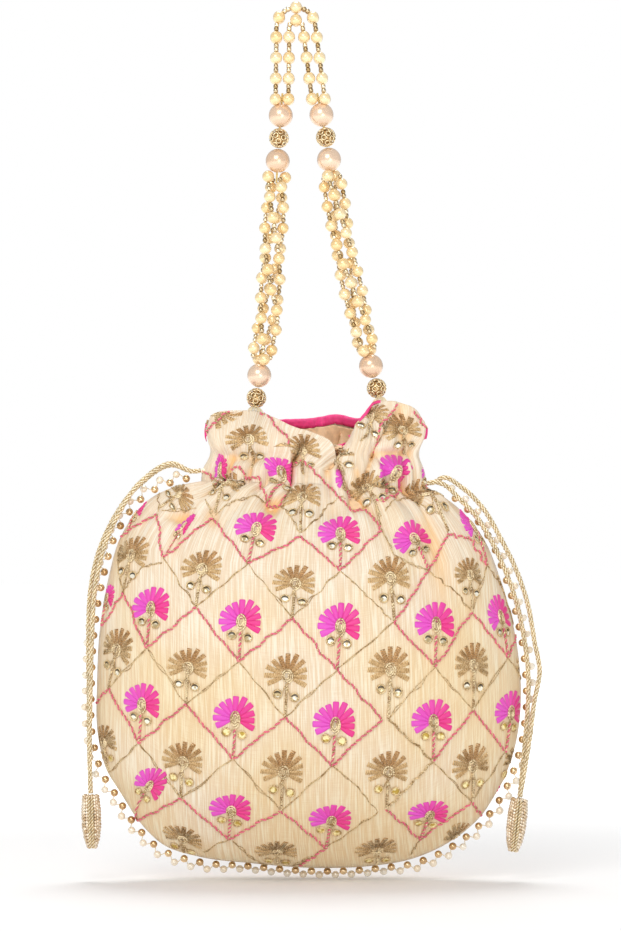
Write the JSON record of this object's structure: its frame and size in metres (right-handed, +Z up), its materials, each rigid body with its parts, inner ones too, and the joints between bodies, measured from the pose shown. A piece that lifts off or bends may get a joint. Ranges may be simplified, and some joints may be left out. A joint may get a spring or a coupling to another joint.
{
  "type": "potli bag",
  "caption": "Drawstring potli bag of embroidered raw silk with a gathered mouth, beaded seam edging, side drawcords with bead tassels, and a hanging handle of twisted pearl strands.",
  "frame": {"origin": "inside top of the handle loop, where a finger, wrist or hook carries the bag", "axes": "+Z up along the hanging bag, the front of the bag towards -Y, +X to the right seen from in front"},
  "size_m": [0.2298, 0.0842, 0.4385],
  "materials": {
    "raw_silk": "slubbed, with a low sheen",
    "beige_satin": "soft sheen",
    "pink_satin": "soft sheen",
    "pearl": "pearlescent",
    "large_pearl": "pearlescent",
    "gold_filigree": "bright wire, open work",
    "gold_cord": "braided metallic yarn",
    "edging_beads": "gold and pearl beads in turn",
    "tassel_beads": "silver-lined seed beads",
    "nylon_thread": "matt"
  },
  "bodies": {
    "handle_top": {"loop_strand_front_inside": "pearl", "loop_strand_back_inside": "pearl", "loop_strand_front_outside": "pearl", "loop_strand_back_outside": "pearl", "left_upper_pearl": "large_pearl", "right_upper_pearl": "large_pearl", "left_upper_filigree": "gold_filigree", "right_upper_filigree": "gold_filigree", "left_upper_thread": "nylon_thread", "right_upper_thread": "nylon_thread"},
    "handle_legs": {"left_leg_strand_1": "pearl", "left_leg_strand_2": "pearl", "left_leg_strand_3": "pearl", "left_leg_strand_4": "pearl", "right_leg_strand_1": "pearl", "right_leg_strand_2": "pearl", "right_leg_strand_3": "pearl", "right_leg_strand_4": "pearl", "left_middle_pearl": "large_pearl", "right_middle_pearl": "large_pearl", "left_lower_pearl": "large_pearl", "right_lower_pearl": "large_pearl", "left_middle_thread": "nylon_thread", "right_middle_thread": "nylon_thread", "left_lower_thread": "nylon_thread", "right_lower_thread": "nylon_thread"},
    "bag": {"left_lower_filigree": "gold_filigree", "right_lower_filigree": "gold_filigree", "left_hanger_thread": "nylon_thread", "right_hanger_thread": "nylon_thread", "front_panel": "raw_silk", "back_panel": "raw_silk", "lining": "beige_satin", "front_facing": "pink_satin", "back_facing": "pink_satin", "seam_edging": "edging_beads", "left_drawcord_in_casing": "gold_cord", "right_drawcord_in_casing": "gold_cord", "left_drawcord_front_run": "gold_cord", "left_drawcord_back_run": "gold_cord", "right_drawcord_front_run": "gold_cord", "right_drawcord_back_run": "gold_cord", "left_tassel": "tassel_beads", "right_tassel": "tassel_beads"}
  },
  "joints": [
    {"name": "handle_fold", "type": "hinge", "parent": "handle_top", "child": "handle_legs", "pos_m": [0.0032, 0, -0.05535], "axis": [0.9998, 0, 0.0214], "range_deg": [-110, 110]},
    {"name": "bag_tilt", "type": "hinge", "parent": "handle_legs", "child": "bag", "pos_m": [0.01025, 0, -0.18305], "axis": [0.9967, 0, 0.0813], "range_deg": [-85, 85]}
  ]
}
